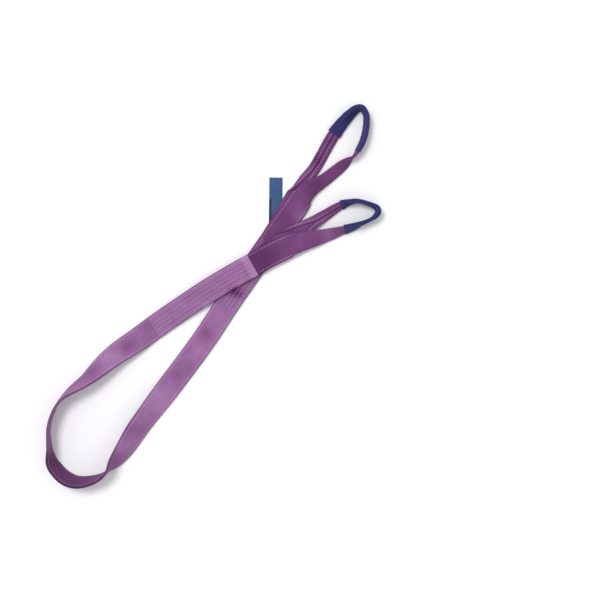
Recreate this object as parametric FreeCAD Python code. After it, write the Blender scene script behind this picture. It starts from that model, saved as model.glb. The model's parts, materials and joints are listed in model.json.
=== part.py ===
"""Flat web sling, two plies, soft eyes with protective sleeves, lying folded in half.

Frame: +Y from the bight towards the eyes, +X to the right, +Z up. The sling lies on z = 0.
"""
import FreeCAD, Part
import math
import os

os.makedirs("parts", exist_ok=True)

# driving dimensions, millimetres and degrees
web_width = 50.0
ply_thickness = 2.7
sling_length = 2000.0
folded_width = 25.0        # web folded lengthwise where it runs in a sleeve
sleeve_wall = 1.3
label_width = 27.5
label_reach = 92.0         # long side of the free part of the label
label_tuck = 20.0          # part of the label held under the web
label_thickness = 1.1
label_lean = 134.4         # direction that the label points, from +X
lay_gap = 0.8              # between two webs that cross
stack_gap = 0.3            # between two loose legs of one eye
hinge_gap = 0.3
seam_inset = 4.5
thread_width = 1.2
thread_height = 0.35
splice_rows = 5
lap_end_station = 5          # the strap's lap runs from the crease to this station of the left leg

# the routes below are for a sling of this length, and follow the real length
drawn_length = 2000.0
lay_scale = sling_length / drawn_length
web_thickness = 2 * ply_thickness
up = FreeCAD.Vector(0, 0, 1)

# a station is x, y, fold (0 flat, 1 folded), roll, webs under it, labels under it
left_crease = (-1, 108, 0, 0, 1, 1)
left_leg_route = [
    left_crease, (-15, 60, 0, 0, 1, 0.7), (-31, -5, 0, 0, 1, 0), (-43, -65, 0, 0, 0.7, 0),
    (-54, -125, 0, 0, 0, 0), (-56, -137, 0, 5, 0, 0), (-63, -186, 0, 25, 0, 0), (-70, -216, 0, 31, 0, 0),
    (-76, -276, 0, 47, 0, 0), (-78, -312, 0, 62, 0, 0), (-86, -376, 0, 88, 0, 0)]
bight_route = [
    (-86, -376, 0, 88, 0, 0), (-82, -411, 0, 90, 0, 0), (-61, -443, 0, 92, 0, 0),
    (-38, -465, 0, 100, 0, 0), (-8, -482, 0, 110, 0, 0), (29, -489, 0, 112, 0, 0),
    (58, -476, 0, 104, 0, 0), (76, -453, 0, 94, 0, 0), (88, -420, 0, 90, 0, 0),
    (88, -396, 0, 80, 0, 0)]
right_leg_route = [
    (88, -396, 0, 80, 0, 0), (78, -347, 0, 50, 0, 0), (70, -314, 0, 37, 0, 0),
    (64, -278, 0, 33, 0, 0), (59, -243, 0, 27, 0, 0), (49, -171, 0, 0, 0, 0),
    (44, -136, 0, 0, 0, 0), (32, -65, 0, 0, 0, 0), (18, 4, 0, 0, 0, 0), (1, 118, 0, 0, 0, 1)]
upper_fan_route = [(-8, 160, 0, 0, 0, 1), (-17, 212, 0, 0, 0, 1), (-22, 262, 0, 0, 0, 1)]
lower_fan_route = [(-8, 160, 0, 0, 0, 1), (-18, 201, 0, 0, 0, 1), (-31, 251, 0, 0, 0, 1),
                   (-33, 262, 0, 0, 0, 1)]

# the eyes run from the lower ply, round the loop and back to the upper ply.
# a station here adds plies under it, and whether the sleeve covers it
eye_1_route = [
    (-33, 262, 0.0, 0, 0, 1, 0, 0), (-36, 280, 0.1, 0, 0, 0.8, 0, 0),
    (-43, 308, 0.4, 0, 0, 0, 0, 0), (-51, 335, 0.8, 0, 0, 0, 0, 0),
    (-64, 375, 1, 0, 0, 0, 0, 0), (-75, 416, 1, 0, 0, 0, 0, 1),
    (-78, 440, 1, 8, 0, 0, 0, 1), (-81, 468, 1, 20, 0, 0, 0, 1),
    (-80, 488, 1, 45, 0, 0, 0, 1), (-67, 499, 1, 60, 0, 0, 0, 1),
    (-53, 495, 1, 60, 0, 0, 0, 1), (-43, 484, 1, 58, 0, 0, 0, 1),
    (-31, 468, 1, 58, 0, 0, 0, 1), (-19, 446, 1, 58, 0, 0, 0, 1),
    (-12, 425, 1, 70, 0, 0, 0, 1), (-12, 408, 1, 86, 0, 0, 0, 0),
    (-15, 386, 1, 45, 0, 0, 0, 0), (-18, 364, 1, 0, 0, 0, 0.5, 0),
    (-22, 343, 0.9, 0, 0, 0, 1.9, 0), (-25, 326, 0.8, 0, 0, 0, 2, 0),
    (-28, 300, 0.6, 0, 0, 0.2, 1.6, 0),
    (-24, 280, 0.3, 0, 0, 0.8, 1.15, 0), (-22, 262, 0.0, 0, 0, 1, 1, 0)]
eye_2_route = [
    (-1, 108, 0.0, 0, 1, 1, 0, 0), (3, 150, 0.1, 0, 1, 1, 0, 0),
    (9, 200, 0.5, 0, 1, 1, 0, 0), (21, 240, 0.9, 0, 1, 1, 0, 0),
    (27, 268, 1, 0, 1, 1, 0, 0), (34, 300, 1, 40, 0.3, 0, 0, 0),
    (40, 325, 1, 60, 0, 0, 0, 1), (48, 344, 1, 75, 0, 0, 0, 1),
    (56, 355, 1, 88, 0, 0, 0, 1), (77, 368, 1, 88, 0, 0, 0, 1),
    (90, 374, 1, 75, 0, 0, 0, 1), (101, 373, 1, 70, 0, 0, 0, 1),
    (107, 365, 1, 72, 0, 0, 0, 1), (107, 348, 1, 84, 0, 0, 0, 1),
    (101, 330, 1, 78, 0, 0, 0, 1), (92, 310, 1, 55, 0, 0, 0, 1),
    (83, 294, 1, 45, 0, 0, 0, 1), (67, 264, 1, 25, 0.6, 0, 0.6, 0),
    (49, 234, 0.9, 0, 1, 1, 2.3, 0), (26, 196, 0.5, 0, 1, 1, 1.75, 0),
    (9, 150, 0.1, 0, 1, 1, 1.2, 0), (-1, 108, 0.0, 0, 1, 1, 1, 0)]
eye_1_sleeve_span = (5, 14)
eye_2_sleeve_span = (6, 16)
eye_1_direction = FreeCAD.Vector(0, 1, 0)
eye_2_direction = FreeCAD.Vector(0.44, 0.9, 0).normalize()


def lift_of(station):
    """Height of the lowest edge of a section, from what lies under it."""
    plies = station[6] if len(station) > 6 else 0
    gap = stack_gap * min(1, max(0, plies - 1) / 0.15)
    webs = station[4] * (web_thickness + lay_gap)
    return webs + station[5] * label_thickness + plies * ply_thickness + gap


def sections(route, first=None, last=None):
    """Centre, width direction, face direction, width and thickness at each station."""
    points = [FreeCAD.Vector(s[0] * lay_scale, s[1] * lay_scale, 0) for s in route]
    result = []
    for i, station in enumerate(route):
        ahead = (points[min(i + 1, len(points) - 1)] - points[max(i - 1, 0)]).normalize()
        if i == 0 and first:
            ahead = first
        if i == len(route) - 1 and last:
            ahead = last
        roll = math.radians(station[3])
        left = up.cross(ahead)
        across = left * math.cos(roll) + up * math.sin(roll)
        normal = up * math.cos(roll) - left * math.sin(roll)
        fold = station[2]
        width = web_width + fold * (folded_width - web_width)
        thickness = ply_thickness * (1 + fold)
        covered = len(station) > 7 and station[7]
        wall = sleeve_wall * (abs(math.sin(roll)) + abs(math.cos(roll))) if covered else 0
        result.append([points[i] + up * (lift_of(station) + wall), across, normal, width, thickness])
    return result


def seat(stations, plies=1):
    """Raise each section until its lowest corner is on what lies under it."""
    for s in stations:
        half = abs(s[1].z) * s[3] / 2
        lowest = min(0, s[2].z * s[4] * plies) - half
        s[0] = s[0] - up * lowest
    return stations


def outline(width, low, high, side=0.0, marks=()):
    """Pairs of place across the web and height; marks split both broad faces alike."""
    places = [side - width / 2] + sorted(marks) + [side + width / 2]
    return [(place, low) for place in places] + [(place, high) for place in places[::-1]]


def points_on(section, pairs):
    centre, across, normal = section[:3]
    return [centre + across * place + normal * height for place, height in pairs]


def wall_faces(outlines, loops):
    """Faces between neighbouring loops, flat where four corners lie in one plane."""
    faces = []
    count = len(outlines[0])
    for a, b in zip(loops, loops[1:]):
        for i in range(count):
            j = (i + 1) % count
            p, q, r, s = a[i], a[j], b[j], b[i]
            off_plane = (q - p).cross(s - p).normalize().dot(r - p)
            if abs(off_plane) < 1e-7:
                pieces = [[p, q, r, s]]
            elif outlines[0][i][0] > outlines[0][j][0]:
                pieces = [[p, q, s], [q, r, s]]
            else:
                pieces = [[p, q, r], [p, r, s]]
            faces += [Part.Face(ring_wire(piece)) for piece in pieces]
    return faces


def closed_solid(faces):
    """A valid solid with outward faces and no needless edges."""
    shell = Part.Shell(faces)
    shell.sewShape()
    solid = Part.Solid(shell)
    if solid.Volume < 0:
        solid.reverse()
    return solid.removeSplitter()


def ring_wire(loop):
    return Part.makePolygon(loop + loop[:1])


def skinned(stations, outlines):
    """A solid through one outline on each station."""
    loops = [points_on(s, pairs) for s, pairs in zip(stations, outlines)]
    ends = [Part.Face(ring_wire(loops[0][::-1])), Part.Face(ring_wire(loops[-1]))]
    return closed_solid(wall_faces(outlines, loops) + ends)


def band(stations, low=0.0, high=None, marks=()):
    """A solid band of web that follows the stations."""
    outlines = [outline(s[3], low, s[4] if high is None else high, 0.0, marks) for s in stations]
    return skinned(stations, outlines)


def tube(stations, wall, marks):
    """A sleeve that fits round the stations' own sections."""
    outlines = [outline(s[3] + 2 * wall, -wall, s[4] + wall, 0.0, marks) for s in stations]
    return skinned(stations, outlines).cut(band(stations, marks=marks))


def row_marks(rows):
    """Places across the web where the sides of the thread rows stand."""
    return [row + edge * thread_width / 2 for row in rows for edge in (-1, 1)]


def seam_rows(stations, rows, base):
    """Rows of thread that stand on a face of the web."""
    pairs = [outline(thread_width, base, base + thread_height, row) for row in rows]
    solids = [skinned(stations, [row_outline] * len(stations)) for row_outline in pairs]
    return solids[0] if len(solids) == 1 else Part.makeCompound(solids)


def main_web(parts):
    """Both legs and the bight, in two plies, with the thread that sews them."""
    edge_rows = [seam_inset - web_width / 2, web_width / 2 - seam_inset]
    inner_rows = [(i + 1) * web_width / (splice_rows + 1) - web_width / 2 for i in range(splice_rows)]
    marks = row_marks(edge_rows + inner_rows)
    legs = left_leg_route + bight_route[1:] + right_leg_route[1:]
    start_direction = eye_2_direction * -1
    lower = seat(sections(legs + lower_fan_route, start_direction, eye_1_direction), 2)
    upper = seat(sections(legs + upper_fan_route, start_direction, eye_1_direction), 2)
    left_end = len(left_leg_route)
    bight_end = left_end + len(bight_route) - 1
    spans = [("left_leg", "lower_ply", "upper_ply", 0, left_end),
             ("bight", "inner_ply", "outer_ply", left_end - 1, bight_end),
             ("right_leg", "lower_ply", "upper_ply", bight_end - 1, len(upper))]
    for name, first_ply, second_ply, start, end in spans:
        under = lower[start:len(lower)] if name == "right_leg" else upper[start:end]
        over = upper[start:end]
        parts[name + "_" + first_ply] = band(under, 0.0, ply_thickness, marks)
        parts[name + "_" + second_ply] = band(over, ply_thickness, web_thickness, marks)
        if name == "left_leg":
            lapped = over[:lap_end_station + 1]
            lap_top = web_thickness + ply_thickness
            parts["left_leg_lap_ply"] = band(lapped, web_thickness, lap_top, marks)
            seams = [seam_rows(lapped, edge_rows, lap_top),
                     seam_rows(over[lap_end_station:], edge_rows, web_thickness)]
            parts["left_leg_edge_seams"] = Part.makeCompound(seams)
        else:
            parts[name + "_edge_seams"] = seam_rows(over, edge_rows, web_thickness)
    crossing = len(legs)
    parts["eye_2_root_stitching"] = seam_rows(lapped, inner_rows, lap_top)
    parts["eye_1_root_stitching"] = seam_rows(upper[crossing - 2:crossing + 1], inner_rows, web_thickness)
    return lower


def eye(parts, name, route, sleeve_span, direction, leg_names):
    """One soft eye: two legs of folded web and the sleeved web between them."""
    stations = seat(sections(route, direction, direction * -1))
    for end in (0, -1):
        stations[end][0] = stations[end][0] + direction * hinge_gap
    start, end = sleeve_span
    covered = stations[start:end + 1]
    seam = [folded_width / 2 - seam_inset / 2]
    marks = row_marks(seam)
    parts[name + "_" + leg_names[0]] = band(stations[:start + 1])
    parts[name + "_sleeved_web"] = band(covered, marks=marks)
    parts[name + "_" + leg_names[1]] = band(stations[end:])
    parts[name + "_sleeve"] = tube(covered, sleeve_wall, marks)
    parts[name + "_sleeve_seam"] = seam_rows(covered, seam, 2 * ply_thickness + sleeve_wall)


def label_corners(lower_ply):
    """Corners of the label's hinge line, just outside the web's edge, and its direction."""
    held = lower_ply[len(lower_ply) - 3:len(lower_ply) - 1]
    edge = [s[0] + s[1] * (s[3] / 2) for s in held]
    edge = [FreeCAD.Vector(p.x, p.y, 0) for p in edge]
    along = (edge[1] - edge[0]).normalize()
    outward = up.cross(along)
    lean = math.radians(label_lean)
    points_to = FreeCAD.Vector(math.cos(lean), math.sin(lean), 0)
    spread = abs(along.cross(points_to).z)
    first = edge[0] + outward * (2 * hinge_gap)
    second = first + along * (label_width / spread)
    return first, second, points_to


def label(parts, lower_ply):
    """The label: a tab held under the web and a free flap."""
    first, second, points_to = label_corners(lower_ply)
    along = (second - first).normalize()
    far = first + points_to * label_reach
    short_side = (far - second).dot(points_to)
    flap = [first, far, second + points_to * short_side, second]
    inward = up.cross(along) * -hinge_gap
    tab = [p + inward for p in (first, second)]
    tab += [p - points_to * label_tuck for p in reversed(tab)]
    thick = up * label_thickness
    parts["label_flap"] = Part.Face(ring_wire(flap)).extrude(thick)
    parts["label_tab"] = Part.Face(ring_wire(tab)).extrude(thick)


def build():
    parts = {}
    lower_ply = main_web(parts)
    eye(parts, "eye_1", eye_1_route, eye_1_sleeve_span, eye_1_direction, ("left_leg", "right_leg"))
    eye(parts, "eye_2", eye_2_route, eye_2_sleeve_span, eye_2_direction, ("upper_leg", "lower_leg"))
    label(parts, lower_ply)
    return parts, lower_ply


def export(parts):
    """Move the sling over the origin and write each piece."""
    box = Part.makeCompound(list(parts.values())).BoundBox
    shift = FreeCAD.Vector(-box.Center.x, -box.Center.y, -box.ZMin)
    for name, shape in parts.items():
        shape.translate(shift)
        shape.exportStep("parts/" + name + ".step")
    return shift


parts, lower_ply = build()
shift = export(parts)
print(len(parts), "pieces, moved by", shift)
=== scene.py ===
import json
import math
import bpy
import numpy as np
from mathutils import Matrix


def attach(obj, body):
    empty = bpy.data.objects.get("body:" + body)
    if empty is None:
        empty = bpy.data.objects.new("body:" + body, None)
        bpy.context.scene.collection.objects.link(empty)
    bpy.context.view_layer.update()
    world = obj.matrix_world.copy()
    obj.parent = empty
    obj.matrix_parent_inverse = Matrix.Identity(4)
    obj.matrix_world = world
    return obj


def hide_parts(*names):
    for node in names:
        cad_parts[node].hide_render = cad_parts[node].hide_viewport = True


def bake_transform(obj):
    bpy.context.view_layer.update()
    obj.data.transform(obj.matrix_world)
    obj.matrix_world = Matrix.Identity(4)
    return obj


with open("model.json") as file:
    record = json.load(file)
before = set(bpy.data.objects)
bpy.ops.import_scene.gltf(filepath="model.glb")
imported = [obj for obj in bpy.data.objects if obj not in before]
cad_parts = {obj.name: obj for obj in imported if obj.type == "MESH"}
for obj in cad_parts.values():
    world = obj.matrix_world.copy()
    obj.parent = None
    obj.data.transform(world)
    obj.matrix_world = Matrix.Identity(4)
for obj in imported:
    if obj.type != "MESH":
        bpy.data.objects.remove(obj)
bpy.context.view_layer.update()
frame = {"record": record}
scene = bpy.context.scene
mm = 0.001



def jointNamed(name):
    return next(joint for joint in frame["record"]["behaviour"]["joints"] if joint["name"] == name)


# the routes below are in mm on the sling's own lay, and the upper eye's hinge places them all
hingeLay = (-27.5, 262.0)
layShift = np.array([jointNamed("eye_1_lift")["pos_m"][k] - hingeLay[k] * mm for k in (0, 1)])


def layPoint(x, y, z=0.0):
    return (x * mm + layShift[0], y * mm + layShift[1], z * mm)


print("camera")
cameraLook = {"over": (120.1, 124.0), "across": 1.26, "turn": 45.0, "lens": 100.0, "sensor": 36.0}


def makeCamera(look):
    data = bpy.data.cameras.new("camera")
    data.lens = look["lens"]
    data.sensor_width = look["sensor"]
    height = look["across"] * look["lens"] / look["sensor"]
    camera = bpy.data.objects.new("camera", data)
    camera.location = layPoint(*look["over"], height / mm)
    camera.rotation_euler = (0, 0, math.radians(look["turn"]))
    scene.collection.objects.link(camera)
    scene.camera = camera


makeCamera(cameraLook)


# smooth curves through listed points

def steadyValues(keys, values, at):  # passes through each value and never overshoots it
    gaps = np.diff(keys)
    slopes = np.diff(values) / gaps
    tangents = np.zeros(len(keys))
    for i in range(1, len(keys) - 1):
        if slopes[i - 1] * slopes[i] > 0:
            before = 2 * gaps[i] + gaps[i - 1]
            after = gaps[i] + 2 * gaps[i - 1]
            tangents[i] = (before + after) / (before / slopes[i - 1] + after / slopes[i])
    i = np.clip(np.searchsorted(keys, at, side="right") - 1, 0, len(gaps) - 1)
    t = (at - keys[i]) / gaps[i]
    start = (1 + 2 * t) * (1 - t) ** 2 * values[i] + t * (1 - t) ** 2 * gaps[i] * tangents[i]
    return start + t * t * (3 - 2 * t) * values[i + 1] + t * t * (t - 1) * gaps[i] * tangents[i + 1]


def roundedValues(keys, values, at, startSlope, endSlope):  # the smoothest curve through each value
    gaps = np.diff(keys)
    count = len(keys)
    matrix = np.zeros((count, count))
    right = np.zeros(count)
    matrix[0, :2] = 2 * gaps[0], gaps[0]
    matrix[-1, -2:] = gaps[-1], 2 * gaps[-1]
    right[0] = 6 * ((values[1] - values[0]) / gaps[0] - startSlope)
    right[-1] = 6 * (endSlope - (values[-1] - values[-2]) / gaps[-1])
    for i in range(1, count - 1):
        matrix[i, i - 1:i + 2] = gaps[i - 1], 2 * (gaps[i - 1] + gaps[i]), gaps[i]
        right[i] = 6 * ((values[i + 1] - values[i]) / gaps[i] - (values[i] - values[i - 1]) / gaps[i - 1])
    bend = np.linalg.solve(matrix, right)
    i = np.clip(np.searchsorted(keys, at, side="right") - 1, 0, count - 2)
    h, a, b = gaps[i], keys[i + 1] - at, at - keys[i]
    cubic = (bend[i] * a ** 3 + bend[i + 1] * b ** 3) / (6 * h)
    return cubic + (values[i] / h - bend[i] * h / 6) * a + (values[i + 1] / h - bend[i + 1] * h / 6) * b


def followRoute(route, step, heading):
    # route columns: x, y, then any channels; gives places, their distance along, and the channels.
    # the route leaves its first point along the heading and comes back to it the other way
    table = np.array(route, float)
    places = table[:, :2] * mm + layShift
    keys = np.concatenate([[0], np.cumsum(np.linalg.norm(np.diff(places, axis=0), axis=1))])
    at = np.linspace(0, keys[-1], int(round(keys[-1] / step)) + 1)
    x, y = (roundedValues(keys, places[:, k], at, heading[k], -heading[k]) for k in (0, 1))
    channels = [steadyValues(keys, table[:, k], at) for k in range(2, table.shape[1])]
    return np.stack([x, y], 1), keys, at, channels


print("webbing")
web = {"width": 50 * mm, "ply": 2.7 * mm, "foldArc": 4.5 * mm, "flapGap": 0.15 * mm, "edgeRound": 1.1 * mm,
       "edgeSteps": 7, "foldAngle": 178, "foldSamples": 801, "ringStep": 2.8 * mm, "across": 31,
       "bightSlope": -0.12}

# route points: x, y, roll, fold (0 flat, 1 both edges folded to the middle), height of what lies under it,
# plies stacked (1 both, 0 one), tone with painted shade: the low tones at the bight's inner face and just
# past the lap's end are painted shade, and the eyes are darker
leftLeg = [
    (10, -485, -113, 0, 0, 1, 0.46), (-4, -482, -109, 0, 0, 1, 0.46), (-17, -475, -100, 0, 0, 1, 0.5),
    (-30, -465, -91, 0, 0, 1, 0.75), (-43, -454, -88, 0, 0, 1, 0.95), (-59, -439, -86, 0, 0, 1, 0.98),
    (-76, -412, -86, 0, 0, 1, 0.98), (-86, -378, -84, 0, 0, 1, 1),
    (-84, -345, -72, 0, 0, 1, 0.95), (-78, -312, -60, 0, 0, 1, 0.96), (-76, -276, -43, 0, 0, 1, 1.03),
    (-70, -217, -22, 0, 0, 1, 1.03), (-64, -187, -12, 0, 0, 1, 0.95), (-54, -125, 0, 0, 0, 1, 0.97),
    (-43, -65, 0, 0, 1.9, 1, 1), (-31, -5, 0, 0, 6.2, 1, 1.02), (-15, 60, 0, 0, 7.0, 1, 1),
    (-8, 85, 0, 0, 7.2, 1, 1), (-4, 98, 0, 0, 7.2, 1, 1), (-1, 108, 0, 0, 7.3, 1, 0.4)]
rightLeg = [
    (10, -485, 113, 0, 0, 1, 0.46), (34, -485, 115, 0, 0, 1, 0.46), (58, -475, 112, 0, 0, 1, 0.46),
    (76, -454, 106, 0, 0, 1, 0.5), (87, -430, 97, 0, 0, 1, 0.65), (89, -412, 88, 0, 0, 1, 0.75),
    (87, -391, 66, 0, 0, 1, 0.8), (80, -350, 45, 0, 0, 1, 1.03), (72, -316, 36, 0, 0, 1, 0.97),
    (66, -281, 32, 0, 0, 1, 1.04), (61, -245, 24, 0, 0, 1, 0.98), (51, -173, 0, 0, 0, 1, 1),
    (46, -138, 0, 0, 0, 1, 0.94), (34.5, -67, 0, 0, 0, 1, 1), (20, 3, 0, 0, 0, 1, 0.98),
    (-1, 119, 0, 0, 1.1, 1, 0.74)]
eyeOneLoop = [
    (-9, 165, 0, 0, 1.1, 1, 0.55), (-19, 208, 0, 0, 1.1, 1, 0.57), (-31, 251, 0, 0, 1.1, 1, 0.60),
    (-36, 272, 0, 0.12, 1.0, 0.7, 0.63), (-42, 289, 0, 0.5, 0.5, 0.2, 0.62), (-49, 307, 0, 0.85, 0, 0, 0.62),
    (-53, 336, 0, 1, 0, 0, 0.59), (-59, 362, 2, 1, 0, 0, 0.50), (-75, 418, 12, 1, 2.3, 0, 0.49),
    (-79, 440, 27, 1, 2.3, 0, 0.49), (-81, 460, 41, 1, 2.3, 0, 0.49), (-81.5, 478, 56, 1, 2.3, 0, 0.49),
    (-79.5, 492, 68, 1, 2.3, 0, 0.49), (-73, 500.5, 78, 1, 2.3, 0, 0.49), (-64, 500.5, 80, 1, 2.3, 0, 0.49),
    (-54, 496, 78, 1, 2.3, 0, 0.49), (-44, 487, 76, 1, 2.3, 0, 0.49), (-32, 472, 74, 1, 2.3, 0, 0.49),
    (-21.5, 454, 74, 1, 2.3, 0, 0.49), (-13, 427, 78, 1, 2.3, 0, 0.49), (-11.5, 413, 90, 1, 1.6, 0, 0.49),
    (-12.5, 404, 112, 1, 0, 0, 0.49), (-15, 388, 146, 1, 0, 0, 0.49), (-18, 366, 168, 1, 0.8, 0, 0.51),
    (-21, 343, 171, 0.95, 2.0, 0, 0.52), (-26, 316, 172, 0.8, 3.6, 0.1, 0.52),
    (-29, 292, 174, 0.55, 3.6, 0.5, 0.54), (-26, 266, 178, 0.1, 1.6, 0.9, 0.55),
    (-18, 220, 180, 0, 1.1, 1, 0.55), (-9, 165, 180, 0, 1.1, 1, 0.55)]
eyeTwoLoop = [
    (4, 128, 0, 0, 7.6, 1, 0.37), (8, 158, 0, 0, 8.0, 0.9, 0.48), (13, 200, 0, 0.35, 8.0, 0.3, 0.57),
    (20, 238, 2, 0.75, 8.0, 0, 0.57), (27, 268, 12, 1, 6.5, 0, 0.59), (33, 296, 34, 1, 1.9, 0, 0.59),
    (39.5, 325, 58, 1, 2.3, 0, 0.55), (43.5, 335, 68, 1, 2.3, 0, 0.53), (49, 345, 80, 1, 2.3, 0, 0.53),
    (56, 355, 87, 1, 2.3, 0, 0.53), (66, 362.5, 90, 1, 2.3, 0, 0.53), (77, 368.5, 90, 1, 2.3, 0, 0.53),
    (88, 373.5, 86, 1, 2.3, 0, 0.53), (98, 375.5, 80, 1, 2.3, 0, 0.53), (105.5, 372, 78, 1, 2.3, 0, 0.53),
    (109, 364, 80, 1, 2.3, 0, 0.53), (107.5, 348, 88, 1, 2.3, 0, 0.53), (101, 331, 92, 1, 2.3, 0, 0.53),
    (95, 316, 106, 1, 2.3, 0, 0.58), (89, 304, 116, 1, 2.3, 0, 0.58), (83, 293, 124, 1, 2.3, 0, 0.60),
    (67, 264, 154, 0.9, 1.9, 0, 0.66), (49, 234, 172, 0.6, 6.5, 0.1, 0.60),
    (29, 198, 178, 0.3, 8.4, 0.4, 0.57), (13, 158, 180, 0, 8.0, 0.9, 0.52), (4, 128, 180, 0, 7.6, 1, 0.37)]

# painted shade and painted highlights on the webs, among them a painted shadow beside the crossing: place,
# radius, and change of tone
shadingMarks = [
    (29.5, -65, 11, -0.2), (47, -172, 12, -0.2), (67, -315, 13, -0.16), (-67, -204, 12, -0.2),
    (-79, -283, 13, -0.16), (-66, -147, 10, -0.12), (56, -235, 18, 0.31), (38, -121, 18, 0.1),
    (77, -340, 15, 0.12), (-68, -240, 18, 0.08), (-6, 249, 12, 0.3), (-30, 222, 14, -0.12),
    (6, 36, 7, -0.3), (16, 40, 7, -0.3), (26, 45, 6, -0.25), (-12, 296, 12, -0.2), (4, 205, 15, -0.08),
    (-30, 320, 9, -0.2), (-64, 357, 8, -0.3), (-24, 285, 8, 0.12), (10, 150, 14, -0.15), (62, 262, 12, 0.15),
    (80, -376, 14, -0.12), (13, 41, 10, -0.4), (-14, 35, 16, -0.07)]


def backAlong(leg):  # the same leg travelled the other way on the upper ply
    return [(x, y, 180 - roll, *rest) for x, y, roll, *rest in leg[::-1]]


def plySection(fold, across, plan):
    # middle line of a web whose two edges fold over to its middle: place across, height, heading at each step
    half, arc = plan["width"] / 2, plan["foldArc"]
    flap = fold * (half - plan["flapGap"]) / 2
    bend = math.radians(plan["foldAngle"]) * min(1, flap / arc)

    def headingAt(place):
        turned = np.clip((np.abs(place) - (half - flap) + arc / 2) / arc, 0, 1)
        return bend * turned * np.sign(place)

    fine = np.linspace(across[0], across[-1], plan["foldSamples"])
    heading = headingAt((fine[:-1] + fine[1:]) / 2)
    step = fine[1] - fine[0]
    side = np.concatenate([[0], np.cumsum(np.cos(heading) * step)])
    rise = np.concatenate([[0], np.cumsum(np.sin(heading) * step)])
    sides = np.interp(across, fine, side) - np.interp(0, fine, side)
    return sides, np.interp(across, fine, rise) - np.interp(0, fine, rise), headingAt(across)


def leftAlong(places, heading):
    ahead = np.gradient(places, axis=0)
    ahead[0], ahead[-1] = heading, -heading
    ahead = ahead / np.linalg.norm(ahead, axis=1)[:, None]
    return np.stack([-ahead[:, 1], ahead[:, 0], np.zeros(len(ahead))], 1)


def seatedFrames(route, step, plan, heading):
    # a frame on each ring: its origin on what lies under it, the way across and the way through
    places, keys, at, (roll, fold, under, stacked, toneAndShading) = followRoute(route, step, heading)
    left = leftAlong(places, heading)
    upward = np.array([0.0, 0.0, 1.0])
    turn = np.radians(roll)[:, None]
    across = left * np.cos(turn) + upward * np.sin(turn)
    through = upward * np.cos(turn) - left * np.sin(turn)
    steps = np.linspace(-plan["width"] / 2, plan["width"] / 2, plan["across"])
    rings = []
    for k in range(len(places)):
        side, rise, lean = plySection(fold[k], steps, plan)
        half = plan["ply"] / 2 * (1 + stacked[k])
        outer = [(side - s * half * np.sin(lean), rise + s * half * np.cos(lean)) for s in (-1, 1)]
        heights = [a * across[k, 2] + n * through[k, 2] for a, n in outer]
        lowest = min(h.min() for h in heights)
        middle = rise - stacked[k] * plan["ply"] / 2
        origin = np.array([*places[k], under[k] * mm - lowest])
        rings.append({"origin": origin, "across": across[k], "through": through[k], "side": side,
                      "middle": middle, "lean": lean, "toneAndShading": toneAndShading[k], "at": at[k], "steps": steps})
    return rings, keys


def onRing(ring, place, height):
    # the point at a place across the web and a height from its middle line
    side = np.interp(place, ring["steps"], ring["side"])
    middle = np.interp(place, ring["steps"], ring["middle"])
    lean = np.interp(place, ring["steps"], ring["lean"])
    a = side - height * math.sin(lean)
    n = middle + height * math.cos(lean)
    point = ring["origin"] + ring["across"] * a + ring["through"] * n
    facing = ring["through"] * math.cos(lean) - ring["across"] * math.sin(lean)
    return point, facing


def edgeProfile(plan):
    # places across and heights round a web's cross-section, rounded at both edges
    half, thick, soft = plan["width"] / 2, plan["ply"] / 2, plan["edgeRound"]
    flat = np.linspace(-half + soft, half - soft, plan["across"])
    turns = [math.radians(a) for a in np.linspace(-90, 90, plan["edgeSteps"])[1:-1]]
    profile = [(place, -thick) for place in flat]
    profile += [(half - soft + soft * math.cos(a), thick * math.sin(a)) for a in turns]
    profile += [(place, thick) for place in flat[::-1]]
    profile += [(-half + soft - soft * math.cos(a), -thick * math.sin(a)) for a in turns]
    return profile


def meshFromRings(name, loops, uvs, closed=False):
    # loops: equal rings of points; uvs: one (across, along) for each point, in metres
    count = len(loops[0])
    points = [tuple(p) for loop in loops for p in loop]
    faces = []
    corners = []
    for k in range(len(loops) - (0 if closed else 1)):
        ahead = (k + 1) % len(loops)
        for i in range(count):
            j = (i + 1) % count
            faces.append((k * count + i, k * count + j, ahead * count + j, ahead * count + i))
            corners.append((uvs[k][i], uvs[k][i + 1], uvs[ahead][i + 1], uvs[ahead][i]))
    if not closed:
        faces.append(tuple(range(count))[::-1])
        faces.append(tuple((len(loops) - 1) * count + i for i in range(count)))
        corners.append(tuple(uvs[0][i] for i in range(count))[::-1])
        corners.append(tuple(uvs[-1][i] for i in range(count)))
    mesh = bpy.data.meshes.new(name)
    mesh.from_pydata(points, [], faces)
    layer = mesh.uv_layers.new(name="UVMap")
    layer.data.foreach_set("uv", np.array([v for face in corners for uv in face for v in uv], np.float32))
    mesh.polygons.foreach_set("use_smooth", [True] * len(mesh.polygons))
    if not closed:
        ends = np.empty(len(mesh.edges) * 2, np.int32)
        mesh.edges.foreach_get("vertices", ends)
        ends = ends.reshape(-1, 2)
        onEnd = (ends.max(axis=1) < count) | (ends.min(axis=1) >= (len(loops) - 1) * count)
        mesh.edges.foreach_set("use_edge_sharp", onEnd)
    mesh.validate()
    return mesh


def paintShading(mesh, tonesAndShading, marks):
    # the rings' tones with their painted shade, changed near each mark by more painted shade and highlights
    count = len(mesh.vertices)
    places = np.empty(count * 3, np.float32)
    mesh.vertices.foreach_get("co", places)
    places = (places.reshape(count, 3)[:, :2] - layShift) / mm
    values = np.repeat(np.array(tonesAndShading, np.float32), count // len(tonesAndShading))
    for x, y, radius, change in marks:
        away = (places[:, 0] - x) ** 2 + (places[:, 1] - y) ** 2
        values *= 1 + change * np.exp(-away / (2 * radius ** 2))
    attribute = mesh.attributes.new("toneAndShading", "FLOAT", "POINT")
    attribute.data.foreach_set("value", values)


def addPiece(name, mesh, material):
    piece = bpy.data.objects.new(name, mesh)
    scene.collection.objects.link(piece)
    piece.data.materials.append(material)
    return piece


# shader groups, each built once

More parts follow.
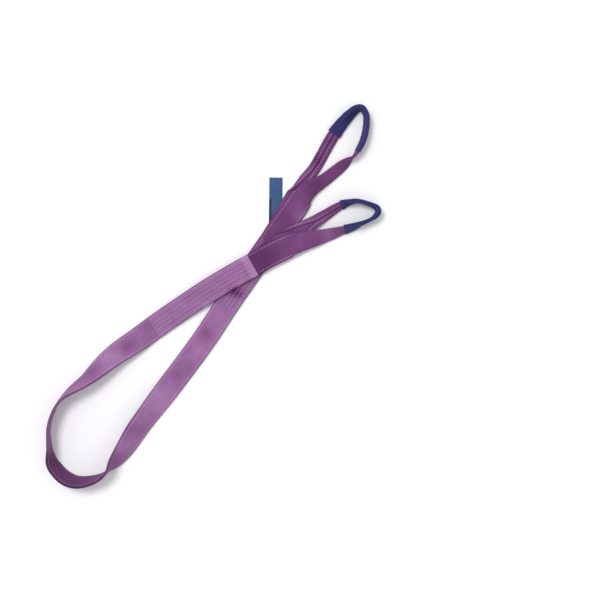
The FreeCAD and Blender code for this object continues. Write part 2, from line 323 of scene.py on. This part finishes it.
def newGroup(name, inputs, outputs):
    group = bpy.data.node_groups.new(name, "ShaderNodeTree")
    for label, kind, value in inputs:
        socket = group.interface.new_socket(name=label, in_out="INPUT", socket_type=kind)
        if value is not None:
            socket.default_value = value
    for label, kind in outputs:
        group.interface.new_socket(name=label, in_out="OUTPUT", socket_type=kind)
    return group, group.nodes.new("NodeGroupInput"), group.nodes.new("NodeGroupOutput")


def mathNode(nodes, links, operation, *values):
    node = nodes.new("ShaderNodeMath")
    node.operation = operation
    for k, value in enumerate(values):
        if isinstance(value, (int, float)):
            node.inputs[k].default_value = value
        else:
            links.new(value, node.inputs[k])
    return node.outputs[0]


def uvParts(nodes, links):
    # a UV map in metres: whole, across, along
    uv = nodes.new("ShaderNodeUVMap")
    uv.uv_map = "UVMap"
    split = nodes.new("ShaderNodeSeparateXYZ")
    links.new(uv.outputs[0], split.inputs[0])
    return uv.outputs[0], split.outputs[0], split.outputs[1]


def stretchedNoise(nodes, links, uv, stretch, detail):
    # noise drawn out along the piece
    spread = nodes.new("ShaderNodeMapping")
    spread.inputs["Scale"].default_value = stretch
    links.new(uv, spread.inputs["Vector"])
    noise = nodes.new("ShaderNodeTexNoise")
    noise.inputs["Scale"].default_value = 1.0
    noise.inputs["Detail"].default_value = detail
    links.new(spread.outputs[0], noise.inputs["Vector"])
    return noise.outputs[0]


def buildWeaveGroup():
    # lengthwise yarns that pass over and under each other
    yarnStagger, floatDip, fuzzScale = 0.25, 0.3, 900
    leastShade, shadeRange = 0.72, 0.35
    group, given, made = newGroup(
        "wovenYarns",
        [("Yarn Width", "NodeSocketFloat", 0.0016), ("Float Length", "NodeSocketFloat", 0.004),
         ("Fuzz", "NodeSocketFloat", 0.3)],
        [("Height", "NodeSocketFloat"), ("Shade", "NodeSocketFloat")])
    nodes, links = group.nodes, group.links
    uv, across, along = uvParts(nodes, links)
    column = mathNode(nodes, links, "DIVIDE", across, given.outputs["Yarn Width"])
    row = mathNode(nodes, links, "DIVIDE", along, given.outputs["Float Length"])
    offset = mathNode(nodes, links, "MULTIPLY", mathNode(nodes, links, "FLOOR", column), yarnStagger)
    halfTurn = mathNode(nodes, links, "MULTIPLY", mathNode(nodes, links, "FRACT", column), math.pi)
    inColumn = mathNode(nodes, links, "SINE", halfTurn)
    fullTurns = mathNode(nodes, links, "MULTIPLY", mathNode(nodes, links, "ADD", row, offset), 2 * math.pi)
    wave = mathNode(nodes, links, "SINE", fullTurns)
    over = mathNode(nodes, links, "MULTIPLY_ADD", wave, floatDip, 1 - floatDip)
    yarn = mathNode(nodes, links, "MULTIPLY", inColumn, over)
    fuzz = nodes.new("ShaderNodeTexNoise")
    fuzz.inputs["Scale"].default_value = fuzzScale
    fuzz.inputs["Detail"].default_value = 3
    links.new(uv, fuzz.inputs["Vector"])
    rough = mathNode(nodes, links, "MULTIPLY", fuzz.outputs[0], given.outputs["Fuzz"])
    links.new(mathNode(nodes, links, "ADD", yarn, rough), made.inputs["Height"])
    links.new(mathNode(nodes, links, "MULTIPLY_ADD", yarn, shadeRange, leastShade), made.inputs["Shade"])
    return group


def buildMottleGroup():
    # slow changes of shade over a used textile, in the object's own space
    group, given, made = newGroup(
        "textileMottle",
        [("Patch Scale", "NodeSocketFloat", 14.0), ("Strength", "NodeSocketFloat", 0.2)],
        [("Shade", "NodeSocketFloat")])
    nodes, links = group.nodes, group.links
    place = nodes.new("ShaderNodeTexCoord")
    patches = nodes.new("ShaderNodeTexNoise")
    patches.inputs["Detail"].default_value = 4
    links.new(place.outputs["Object"], patches.inputs["Vector"])
    links.new(given.outputs["Patch Scale"], patches.inputs["Scale"])
    centred = mathNode(nodes, links, "SUBTRACT", patches.outputs[0], 0.5)
    shade = mathNode(nodes, links, "MULTIPLY_ADD", centred, given.outputs["Strength"], 1.0)
    links.new(shade, made.inputs["Shade"])
    return group


def buildEdgeLineGroup():
    # thin lines that run along a web at a set distance from its middle, with the web's dark selvedge, which
    # is partly its own colour and partly painted shade along its edges
    group, given, made = newGroup(
        "edgeLines",
        [("Line Place", "NodeSocketFloat", 0.0205), ("Line Width", "NodeSocketFloat", 0.0009),
         ("Web Half", "NodeSocketFloat", 0.025), ("Selvedge And Shade", "NodeSocketFloat", 0.0018)],
        [("Line", "NodeSocketFloat"), ("Selvedge And Shade", "NodeSocketFloat")])
    nodes, links = group.nodes, group.links
    fromMiddle = mathNode(nodes, links, "ABSOLUTE", uvParts(nodes, links)[1])

    def fade(distance, width):  # 1 at no distance, 0 from the width on
        share = mathNode(nodes, links, "SUBTRACT", 1.0, mathNode(nodes, links, "DIVIDE", distance, width))
        share.node.use_clamp = True
        return share

    offLine = mathNode(nodes, links, "SUBTRACT", fromMiddle, given.outputs["Line Place"])
    offLine = mathNode(nodes, links, "ABSOLUTE", offLine)
    links.new(fade(offLine, given.outputs["Line Width"]), made.inputs["Line"])
    toEdge = mathNode(nodes, links, "SUBTRACT", given.outputs["Web Half"], fromMiddle)
    links.new(fade(toEdge, given.outputs["Selvedge And Shade"]), made.inputs["Selvedge And Shade"])
    return group


weaveGroup = buildWeaveGroup()
mottleGroup = buildMottleGroup()
edgeLineGroup = buildEdgeLineGroup()


def placeGroup(material, group, values):
    node = material.node_tree.nodes.new("ShaderNodeGroup")
    node.node_tree = group
    for label, value in values.items():
        node.inputs[label].default_value = value
    return node


def newMaterial(name, roughness, sheen):
    material = bpy.data.materials.new(name)
    material.use_nodes = True
    shader = material.node_tree.nodes["Principled BSDF"]
    shader.inputs["Roughness"].default_value = roughness
    shader.inputs["Sheen Weight"].default_value = sheen
    shader.inputs["Sheen Roughness"].default_value = 0.5
    shader.inputs["Specular IOR Level"].default_value = 0.15
    return material, material.node_tree.nodes, material.node_tree.links, shader


def addBump(material, height, distance, strength):
    nodes, links = material.node_tree.nodes, material.node_tree.links
    bump = nodes.new("ShaderNodeBump")
    bump.inputs["Distance"].default_value = distance
    bump.inputs["Strength"].default_value = strength
    links.new(height, bump.inputs["Height"])
    links.new(bump.outputs[0], nodes["Principled BSDF"].inputs["Normal"])


def shadedColour(material, colour, shade):
    # a colour times a grey value
    nodes, links = material.node_tree.nodes, material.node_tree.links
    mix = nodes.new("ShaderNodeVectorMath")
    mix.operation = "SCALE"
    if isinstance(colour, tuple):
        mix.inputs[0].default_value = colour
    else:
        links.new(colour, mix.inputs[0])
    links.new(shade, mix.inputs["Scale"])
    return mix.outputs[0]


def mixColour(material, share, first, second):
    nodes, links = material.node_tree.nodes, material.node_tree.links
    mix = nodes.new("ShaderNodeMix")
    mix.data_type = "RGBA"
    links.new(share, mix.inputs["Factor"])
    for socket, value in ((mix.inputs[6], first), (mix.inputs[7], second)):
        if isinstance(value, tuple):
            socket.default_value = (*value, 1)
        else:
            links.new(value, socket)
    return mix.outputs[2]


webLook = {"name": "violetWebbing", "roughness": 0.8, "sheen": 0.05, "colour": (0.33, 0.147, 0.345),
           "line": (0.52, 0.32, 0.56), "lineShare": 0.45, "selvedgeAndShade": (0.1, 0.045, 0.11),
           "selvedgeAndShadeShare": 0.6, "yarn": 1.7 * mm, "float": 5 * mm, "bump": 0.5 * mm, "patchScale": 26.0,
           "patches": 0.75, "deepening": 1.6}
sleeveLook = {"name": "indigoSleeve", "roughness": 0.75, "sheen": 0.04, "colour": (0.017, 0.015, 0.1),
              "streak": (0.048, 0.05, 0.2), "streakStretch": (260, 16, 1), "yarn": 1.2 * mm,
              "float": 2.4 * mm, "bump": 0.35 * mm, "patchScale": 45.0, "patches": 0.9}


def wovenShade(material, look):
    # yarns with their bump, under the patches of a used textile
    weave = placeGroup(material, weaveGroup, {"Yarn Width": look["yarn"], "Float Length": look["float"]})
    patches = {"Patch Scale": look["patchScale"], "Strength": look["patches"]}
    mottle = placeGroup(material, mottleGroup, patches)
    addBump(material, weave.outputs["Height"], look["bump"], 0.6)
    nodes, links = material.node_tree.nodes, material.node_tree.links
    return mathNode(nodes, links, "MULTIPLY", weave.outputs["Shade"], mottle.outputs["Shade"])


def makeWebMaterial(look):
    material, nodes, links, shader = newMaterial(look["name"], look["roughness"], look["sheen"])
    shade = wovenShade(material, look)
    lines = placeGroup(material, edgeLineGroup, {})
    # the tone attribute carries painted shade and painted highlights into the colour; the green falls faster,
    # so the painted shade stays violet
    toneAndShading = nodes.new("ShaderNodeAttribute")
    toneAndShading.attribute_name = "toneAndShading"
    deeper = mathNode(nodes, links, "POWER", toneAndShading.outputs["Fac"], look["deepening"])
    tint = nodes.new("ShaderNodeCombineXYZ")
    for k, value in enumerate((toneAndShading.outputs["Fac"], deeper, toneAndShading.outputs["Fac"])):
        links.new(value, tint.inputs[k])
    lineShare = mathNode(nodes, links, "MULTIPLY", lines.outputs["Line"], look["lineShare"])
    colour = mixColour(material, lineShare, look["colour"], look["line"])
    # dark selvedge, partly painted shade along the web's edges
    edgeShadeShare = mathNode(nodes, links, "MULTIPLY", lines.outputs["Selvedge And Shade"], look["selvedgeAndShadeShare"])
    colour = mixColour(material, edgeShadeShare, colour, look["selvedgeAndShade"])
    tinted = nodes.new("ShaderNodeVectorMath")
    tinted.operation = "MULTIPLY"
    links.new(shadedColour(material, colour, shade), tinted.inputs[0])
    links.new(tint.outputs[0], tinted.inputs[1])
    links.new(tinted.outputs[0], shader.inputs["Base Color"])
    return material


def makeSleeveMaterial(look):
    material, nodes, links, shader = newMaterial(look["name"], look["roughness"], look["sheen"])
    shade = wovenShade(material, look)
    streaks = stretchedNoise(nodes, links, uvParts(nodes, links)[0], look["streakStretch"], 2)
    colour = mixColour(material, streaks, look["colour"], look["streak"])
    links.new(shadedColour(material, colour, shade), shader.inputs["Base Color"])
    return material


threadLook = {"name": "lilacThread", "roughness": 0.55, "sheen": 0.1, "colour": (0.58, 0.38, 0.6),
              "ply": 0.35 * mm, "bump": 0.1 * mm, "leastShade": 0.72}
sleeveThreadLook = {**threadLook, "name": "indigoThread", "colour": (0.15, 0.16, 0.36)}


def makeThreadMaterial(look):
    material, nodes, links, shader = newMaterial(look["name"], look["roughness"], look["sheen"])
    place = nodes.new("ShaderNodeTexCoord")
    strands = nodes.new("ShaderNodeTexNoise")
    strands.inputs["Scale"].default_value = 1 / look["ply"]
    links.new(place.outputs["Object"], strands.inputs["Vector"])
    shade = mathNode(nodes, links, "MULTIPLY_ADD", strands.outputs[0], 0.5, look["leastShade"])
    links.new(shadedColour(material, look["colour"], shade), shader.inputs["Base Color"])
    addBump(material, strands.outputs[0], look["bump"], 0.5)
    return material


webMaterial = makeWebMaterial(webLook)
sleeveMaterial = makeSleeveMaterial(sleeveLook)
threadMaterial = makeThreadMaterial(threadLook)
sleeveThreadMaterial = makeThreadMaterial(sleeveThreadLook)


def bandMesh(name, rings, lift, tonesAndShading, plan):
    # a web over the rings, lifted off their middle line
    profile = edgeProfile(plan)
    loops = [[onRing(ring, place, height + lift)[0] for place, height in profile] for ring in rings]
    uvs = [[(place, ring["at"]) for place, height in profile + profile[:1]] for ring in rings]
    mesh = meshFromRings(name, loops, uvs)
    paintShading(mesh, tonesAndShading, shadingMarks)
    return mesh


def makeStrap(name, leg, loop, heading, plan):
    # one continuous strap: lower ply out to the eye, round the loop, and back as the upper ply
    route = leg + loop + backAlong(leg)
    rings, keys = seatedFrames(route, plan["ringStep"], plan, heading)
    # the rings' tones carry painted shade onto the strap
    piece = addPiece(name, bandMesh(name, rings, 0, [ring["toneAndShading"] for ring in rings], plan), webMaterial)
    return piece, rings, keys


# "leaves" is the way each strap starts from the bight, "bend" the two places its eye turns up between
straps = {
    "strapWithEyeTwo": {
        "leg": leftLeg, "loop": eyeTwoLoop, "leaves": -1, "eye": "eye_2", "bend": ((-1, 108), (12, 135)),
        "stands": ["left_leg_lower_ply", "left_leg_upper_ply", "bight_inner_ply", "bight_outer_ply",
                   "eye_2_upper_leg", "eye_2_sleeved_web", "eye_2_lower_leg"]},
    "strapWithEyeOne": {
        "leg": rightLeg, "loop": eyeOneLoop, "leaves": 1, "eye": "eye_1", "bend": ((-27, 250), (-27, 280)),
        "stands": ["right_leg_lower_ply", "right_leg_upper_ply", "eye_1_left_leg", "eye_1_sleeved_web",
                   "eye_1_right_leg"]}}


def blendOver(piece):
    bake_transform(piece)


for name, strap in straps.items():
    heading = np.array([strap["leaves"], strap["leaves"] * web["bightSlope"]])
    piece, rings, keys = makeStrap(name, strap["leg"], strap["loop"], heading / np.linalg.norm(heading), web)
    blendOver(piece)
    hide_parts(*strap["stands"])
    strap["rings"], strap["keys"] = rings, keys
    print("  ", name, "strap length", round(rings[-1]["at"], 3))


print("sleeves")
sleeve = {"wall": 1.0 * mm, "slack": 0.1 * mm, "sides": 28, "seamPlace": 10.2 * mm, "besideWeb": 0.8 * mm,
          "overWeb": 0.3 * mm, "squareOutside": 0.4 * mm, "squareInside": 0.6 * mm, "flare": 0.05,
          "flareLength": 4 * mm, "rucks": ((0.012, 57, 0), (0.01, 23, 1))}
# "first" and "last" are the points of the eye's route that the sleeve reaches
sleeves = {
    "sleeveOnEyeOne": {
        "strap": "strapWithEyeOne", "body": "eye_1", "node": "eye_1_sleeve", "first": 8, "last": 19},
    "sleeveOnEyeTwo": {
        "strap": "strapWithEyeTwo", "body": "eye_2", "node": "eye_2_sleeve", "first": 6, "last": 20}}


def sleevedSpan(strap, spec):
    # distances along the strap where its sleeve starts and ends
    return [strap["keys"][len(strap["leg"]) + spec[key]] for key in ("first", "last")]


def roundedBox(halfWide, halfHigh, corner, count):
    # points round a box with rounded corners, evenly spaced by angle of travel
    points = []
    perCorner = count // 4
    for k, (sx, sy) in enumerate(((1, -1), (1, 1), (-1, 1), (-1, -1))):
        for i in range(perCorner):
            angle = math.radians(-90 + 90 * k + 90 * i / (perCorner - 1))
            points.append((sx * (halfWide - corner) + corner * math.cos(angle),
                           sy * (halfHigh - corner) + corner * math.sin(angle)))
    return points


def makeSleeve(name, spec, plan, webPlan):
    strap = straps[spec["strap"]]
    start, end = sleevedSpan(strap, spec)
    rings = [ring for ring in strap["rings"] if start <= ring["at"] <= end]
    half = webPlan["width"] / 4 + plan["besideWeb"]
    thick = webPlan["ply"] + plan["overWeb"]
    slack, grow = plan["slack"], plan["slack"] + plan["wall"]
    outer = roundedBox(half + grow, thick + grow, thick + grow - plan["squareOutside"], plan["sides"])
    inner = roundedBox(half + slack, thick + slack, thick - plan["squareInside"], plan["sides"])
    length = rings[-1]["at"] - rings[0]["at"]
    perimeter = sum(math.dist(outer[i], outer[i - 1]) for i in range(len(outer)))

    def loopOn(ring, shape, scale=1.0):
        rise = (ring["middle"].min() + ring["middle"].max()) / 2
        centre = ring["origin"] + ring["through"] * rise
        return [centre + ring["across"] * a * scale + ring["through"] * n * scale for a, n in shape]

    def shapeUv(shape, at):
        lengths = [math.dist(a, b) for a, b in zip(shape, shape[1:] + shape[:1])]
        around = np.concatenate([[0], np.cumsum(lengths)])
        return [(float(u), at) for u in around]

    loops, uvs, seamPoints = [], [], []
    for ring in rings:
        share = (ring["at"] - rings[0]["at"]) / length
        ruck = 1 + sum(size * math.sin(share * waves + start) for size, waves, start in plan["rucks"])
        endFlare = 1 + plan["flare"] * math.exp(-min(share, 1 - share) * length / plan["flareLength"])
        loops.append(loopOn(ring, outer, ruck * endFlare))
        seamPoints.append(loopOn(ring, [(plan["seamPlace"], thick + grow)], ruck * endFlare)[0])
        uvs.append(shapeUv(outer, ring["at"]))
    loops += [loopOn(ring, inner) for ring in rings[::-1]]
    uvs += [shapeUv(inner, ring["at"]) for ring in rings[::-1]]
    mesh = meshFromRings(name, loops, uvs, closed=True)
    piece = addPiece(name, mesh, sleeveMaterial)
    spec["seam"] = (seamPoints, [ring["through"] for ring in rings])
    return piece, perimeter, length


for name, spec in sleeves.items():
    piece, perimeter, length = makeSleeve(name, spec, sleeve, web)
    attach(piece, spec["body"])
    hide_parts(spec["node"])
    print("  ", name, round(perimeter, 4), round(length, 4))


print("lap")
# the lap's tones paint a highlight on its first stretch from the crease, where its end rolls over
lap = {"strap": "strapWithEyeTwo", "node": "left_leg_lap_ply", "startsAt": -1, "endsAt": -7, "past": 12 * mm,
       "highlightBand": 17 * mm, "tonesAndShading": (1.22, 0.99)}


def spanOnReturn(strap, first, last):
    # distances along the strap at two points of its leg, on the upper ply coming back
    keys = strap["keys"][::-1]
    return keys[len(strap["leg"]) + first], keys[len(strap["leg"]) + last]


def makeLap(spec, plan):
    strap = straps[spec["strap"]]
    start, end = spanOnReturn(strap, spec["startsAt"], spec["endsAt"])
    end += spec["past"]
    rings = [ring for ring in strap["rings"] if start <= ring["at"] <= end]
    highlight, plain = spec["tonesAndShading"]
    # painted highlight on the band next to the crease, plain tone after it
    tonesAndShading = [highlight if ring["at"] - start < spec["highlightBand"] else plain for ring in rings]
    mesh = bandMesh("strapLap", rings, -plan["ply"], tonesAndShading, plan)
    return mesh, rings[-1]["at"] - rings[0]["at"], (start, end)


lapMesh, lapLength, lapSpan = makeLap(lap, web)
lapPiece = addPiece("strapLap", lapMesh, webMaterial)
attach(lapPiece, "sling")
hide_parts(lap["node"])
print("  ", round(lapLength, 3))


print("stitches")
stitch = {"length": 4.0 * mm, "pitch": 6.0 * mm, "width": 1.1 * mm, "height": 0.7 * mm,
          "edgePlace": 20.5 * mm, "rows": 5, "clearOfFloor": 0.8 * mm, "facesUp": 0.15, "seed": 4,
          "material": threadMaterial}


def buildStitchTree():
    # a small rounded stitch on every point, turned along its row and to the web's face
    tree = bpy.data.node_groups.new("rowsOfStitches", "GeometryNodeTree")
    inputs = [("Geometry", "NodeSocketGeometry", None), ("Material", "NodeSocketMaterial", None),
              ("Stitch Length", "NodeSocketFloat", 0.004), ("Stitch Width", "NodeSocketFloat", 0.001),
              ("Stitch Height", "NodeSocketFloat", 0.0006), ("Seed", "NodeSocketInt", 1)]
    for label, kind, value in inputs:
        socket = tree.interface.new_socket(name=label, in_out="INPUT", socket_type=kind)
        if value is not None:
            socket.default_value = value
    tree.interface.new_socket(name="Geometry", in_out="OUTPUT", socket_type="NodeSocketGeometry")
    nodes, links = tree.nodes, tree.links
    given, made = nodes.new("NodeGroupInput"), nodes.new("NodeGroupOutput")
    bead = nodes.new("GeometryNodeMeshUVSphere")
    bead.inputs["Segments"].default_value = 6
    bead.inputs["Rings"].default_value = 4
    bead.inputs["Radius"].default_value = 0.5
    turned = None
    for name, axis, pivot in (("facing", "Z", "AUTO"), ("heading", "X", "Z")):
        vector = nodes.new("GeometryNodeInputNamedAttribute")
        vector.data_type = "FLOAT_VECTOR"
        vector.inputs["Name"].default_value = name
        align = nodes.new("FunctionNodeAlignRotationToVector")
        align.axis = axis
        align.pivot_axis = pivot
        links.new(vector.outputs["Attribute"], align.inputs["Vector"])
        if turned is not None:
            links.new(turned, align.inputs["Rotation"])
        turned = align.outputs["Rotation"]
    uneven = nodes.new("FunctionNodeRandomValue")
    uneven.data_type = "FLOAT"
    uneven.inputs[2].default_value = 0.85
    uneven.inputs[3].default_value = 1.1
    links.new(given.outputs["Seed"], uneven.inputs["Seed"])
    size = nodes.new("ShaderNodeCombineXYZ")
    links.new(given.outputs["Stitch Length"], size.inputs[0])
    links.new(given.outputs["Stitch Width"], size.inputs[1])
    links.new(given.outputs["Stitch Height"], size.inputs[2])
    scaled = nodes.new("ShaderNodeVectorMath")
    scaled.operation = "SCALE"
    links.new(size.outputs[0], scaled.inputs[0])
    links.new(uneven.outputs[1], scaled.inputs["Scale"])
    placed = nodes.new("GeometryNodeInstanceOnPoints")
    links.new(given.outputs["Geometry"], placed.inputs["Points"])
    links.new(bead.outputs["Mesh"], placed.inputs["Instance"])
    links.new(turned, placed.inputs["Rotation"])
    links.new(scaled.outputs[0], placed.inputs["Scale"])
    real = nodes.new("GeometryNodeRealizeInstances")
    links.new(placed.outputs["Instances"], real.inputs["Geometry"])
    coat = nodes.new("GeometryNodeSetMaterial")
    links.new(real.outputs["Geometry"], coat.inputs["Geometry"])
    links.new(given.outputs["Material"], coat.inputs["Material"])
    links.new(coat.outputs["Geometry"], made.inputs["Geometry"])
    return tree


stitchTree = buildStitchTree()


def stitchRow(points, facings, plan):
    # evenly spaced stitches along a row: place, facing and heading of each
    points, facings = np.array(points), np.array(facings)
    at = np.concatenate([[0], np.cumsum(np.linalg.norm(np.diff(points, axis=0), axis=1))])
    headings = np.gradient(points, axis=0)
    along = np.arange(plan["pitch"] / 2, at[-1], plan["pitch"])

    def spaced(values):
        return np.stack([np.interp(along, at, values[:, k]) for k in range(3)], 1)

    return list(zip(spaced(points), spaced(facings), spaced(headings)))


def rowOnStrap(strap, place, lift, span, plan, webPlan):
    # a row on the strap's outer face, which is the one away from its fold
    rings = [ring for ring in strap["rings"] if span[0] <= ring["at"] <= span[1]]
    path = [onRing(ring, place, -webPlan["ply"] / 2 - lift) for ring in rings]
    return stitchRow([point for point, facing in path], [-facing for point, facing in path], plan)


def makeStitches(name, rows, plan):
    def isSeen(place, facing):
        return place[2] > plan["clearOfFloor"] and facing[2] > plan["facesUp"] * np.linalg.norm(facing)

    kept = [s for s in rows if isSeen(s[0], s[1])]
    mesh = bpy.data.meshes.new(name)
    mesh.from_pydata([tuple(place) for place, facing, heading in kept], [], [])
    for label, index in (("facing", 1), ("heading", 2)):
        attribute = mesh.attributes.new(label, "FLOAT_VECTOR", "POINT")
        attribute.data.foreach_set("vector", np.array([s[index] for s in kept], np.float32).ravel())
    piece = bpy.data.objects.new(name, mesh)
    scene.collection.objects.link(piece)
    modifier = piece.modifiers.new("stitches", "NODES")
    modifier.node_group = stitchTree
    values = {"Material": plan["material"], "Stitch Length": plan["length"], "Stitch Width": plan["width"],
              "Stitch Height": plan["height"], "Seed": plan["seed"]}
    for item in stitchTree.interface.items_tree:
        if item.in_out == "INPUT" and item.name in values:
            modifier[item.identifier] = values[item.name]
    bpy.context.view_layer.update()
    whole = bpy.data.meshes.new_from_object(piece.evaluated_get(bpy.context.evaluated_depsgraph_get()))
    piece.modifiers.remove(modifier)
    piece.data = whole
    whole.polygons.foreach_set("use_smooth", [True] * len(whole.polygons))
    print("  ", name, len(kept), "stitches", len(whole.polygons), "faces")
    return piece


def edgeRows(strap, sleeveSpec, plan, webPlan, lapped=None):
    # both seams of the strap except where the sleeve hides them, raised where the lap lies on it
    start, end = strap["keys"][0], strap["keys"][-1]
    sleeveStart, sleeveEnd = sleevedSpan(strap, sleeveSpec)
    spans = [(start, sleeveStart, 0)]
    if lapped:
        spans += [(sleeveEnd, lapped[0], 0), (*lapped, webPlan["ply"]), (lapped[1], end, 0)]
    else:
        spans += [(sleeveEnd, end, 0)]
    rows = []
    for place in (-plan["edgePlace"], plan["edgePlace"]):
        for first, last, lift in spans:
            rows += rowOnStrap(strap, place, lift, (first, last), plan, webPlan)
    return rows


def rootRows(strap, span, lift, plan, webPlan):
    # rows along the web, evenly spaced across it
    rows = []
    for k in range(plan["rows"]):
        place = (k + 1) * webPlan["width"] / (plan["rows"] + 1) - webPlan["width"] / 2
        rows += rowOnStrap(strap, place, lift, span, plan, webPlan)
    return rows


strapTwo, strapOne = straps["strapWithEyeTwo"], straps["strapWithEyeOne"]
rootOne = spanOnReturn(strapOne, 0, -2)
rowsOnTwo = edgeRows(strapTwo, sleeves["sleeveOnEyeTwo"], stitch, web, lapSpan)
rowsOnTwo += rootRows(strapTwo, lapSpan, web["ply"], stitch, web)
rowsOnOne = edgeRows(strapOne, sleeves["sleeveOnEyeOne"], stitch, web)
rowsOnOne += rootRows(strapOne, rootOne, 0, stitch, web)
stitchPieces = {
    "stitchesOnStrapTwo": {
        "strap": strapTwo, "rows": rowsOnTwo,
        "stands": ["left_leg_edge_seams", "bight_edge_seams", "eye_2_root_stitching"]},
    "stitchesOnStrapOne": {
        "strap": strapOne, "rows": rowsOnOne, "stands": ["right_leg_edge_seams", "eye_1_root_stitching"]}}
for name, spec in stitchPieces.items():
    piece = makeStitches(name, spec["rows"], stitch)
    blendOver(piece)
    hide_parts(*spec["stands"])


print("label")
label = {"reach": 92 * mm, "width": 27.5 * mm, "tuck": 20 * mm, "thick": 0.9 * mm, "under": 0.05 * mm,
         "points": 134.4, "wave": 0.9 * mm, "stepsAlong": 40, "placesAcross": 11,
         "colour": (0.024, 0.06, 0.16), "rib": (0.055, 0.125, 0.29), "ribPitch": 4.8 * mm,
         "wearStretch": (300, 55, 1), "wear": 1.6, "dark": (0.012, 0.018, 0.045), "darkWide": 5 * mm,
         "darkLong": 47 * mm}


def makeLabel(plan, hingeAt, hingeAxis):
    # a strip from under the web, past its slanting hinge line, to the free end
    direction = math.radians(plan["points"])
    ahead = np.array([math.cos(direction), math.sin(direction)])
    across = np.array([ahead[1], -ahead[0]])
    hingeLine = hingeAxis[:2] / np.dot(hingeAxis[:2], across) * plan["width"]
    corner = hingeAt[:2] - hingeLine / 2
    slant = np.dot(hingeLine, ahead)
    alongCount, acrossCount = plan["stepsAlong"], plan["placesAcross"]

    def place(u, v, z):
        flat = corner + across * u + ahead * v
        rise = plan["wave"] * (1 - math.cos(4 * math.pi * max(0, v) / plan["reach"])) / 2 * (v > 0)
        return (flat[0], flat[1], rise + z)

    loops, uvs = [], []
    for j in range(alongCount + 1):
        share = j / alongCount
        top = []
        for i in range(acrossCount):
            u = plan["width"] * i / (acrossCount - 1)
            root = slant * i / (acrossCount - 1) - plan["tuck"]
            top.append((u, root + (plan["reach"] - root) * share))
        loops.append([place(u, v, plan["under"]) for u, v in top]
                     + [place(u, v, plan["thick"]) for u, v in top[::-1]])
        around = top + top[::-1]
        uvs.append(around + around[:1])
    return meshFromRings("blankLabel", loops, uvs), plan["reach"] + plan["tuck"] - slant / 2


def makeLabelMaterial(look):
    material, nodes, links, shader = newMaterial("blueLabel", 0.5, 0.05)
    uv, across, along = uvParts(nodes, links)
    ribTurns = mathNode(nodes, links, "MULTIPLY", across, 2 * math.pi / look["ribPitch"])
    ribs = mathNode(nodes, links, "SINE", ribTurns)
    wear = stretchedNoise(nodes, links, uv, look["wearStretch"], 4)
    ribShare = mathNode(nodes, links, "MULTIPLY_ADD", ribs, 0.25, 0.5)
    share = mathNode(nodes, links, "MULTIPLY", ribShare, wear)
    share = mathNode(nodes, links, "MULTIPLY", share, look["wear"])
    colour = mixColour(material, share, look["colour"], look["rib"])
    inSide = mathNode(nodes, links, "LESS_THAN", across, look["darkWide"])
    inLength = mathNode(nodes, links, "LESS_THAN", along, look["darkLong"])
    darkShare = mathNode(nodes, links, "MULTIPLY", inSide, inLength)
    links.new(mixColour(material, darkShare, colour, look["dark"]), shader.inputs["Base Color"])
    addBump(material, ribs, 0.15 * mm, 0.4)
    return material


labelHinge = jointNamed("label_flip")
hingeAxis = np.array(labelHinge["axis"])
hingeAt = np.array(labelHinge["pos_m"])
labelMesh, labelLength = makeLabel(label, hingeAt, hingeAxis)
labelPiece = addPiece("blankLabel", labelMesh, makeLabelMaterial(label))
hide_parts("label_flap", "label_tab")
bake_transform(labelPiece)
print("  ", "label", round(labelLength, 4))


print("sleeve seams")
seam = {"length": 3.0 * mm, "pitch": 4.6 * mm, "width": 0.9 * mm, "height": 0.6 * mm,
        "clearOfFloor": 0.3 * mm, "facesUp": -1.0, "seed": 7, "material": sleeveThreadMaterial}
for name, spec in sleeves.items():
    row = stitchRow(*spec["seam"], seam)
    piece = makeStitches(name.replace("sleeveOn", "seamOnSleeve"), row, seam)
    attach(piece, spec["body"])
    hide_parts(spec["node"] + "_seam")


print("floor and lights")
studio = {"floor": (0.93, 0.93, 0.94), "floorSize": 12, "floorDrop": 0.3 * mm, "sun": 1.5, "softness": 20.0,
          "height": 66.0, "fill": 0.72}


def makeStudio(plan):
    bpy.ops.mesh.primitive_plane_add(size=plan["floorSize"], location=(0, 0, -plan["floorDrop"]))
    floor = bpy.context.object
    floor.name = "floor"
    material, nodes, links, shader = newMaterial("paleFloor", 0.9, 0.0)
    shader.inputs["Base Color"].default_value = (*plan["floor"], 1)
    floor.data.materials.append(material)
    light = bpy.data.lights.new("key", "SUN")
    light.energy = plan["sun"]
    light.angle = math.radians(plan["softness"])
    key = bpy.data.objects.new("key", light)
    # the light comes down from -X, so the shadows fall towards +X
    key.rotation_euler = (0, math.radians(plan["height"] - 90), 0)
    scene.collection.objects.link(key)
    world = bpy.data.worlds.new("studio")
    scene.world = world
    world.use_nodes = True
    background = world.node_tree.nodes["Background"]
    background.inputs["Color"].default_value = (1, 1, 1, 1)
    background.inputs["Strength"].default_value = plan["fill"]


makeStudio(studio)
scene.view_settings.view_transform = "Standard"
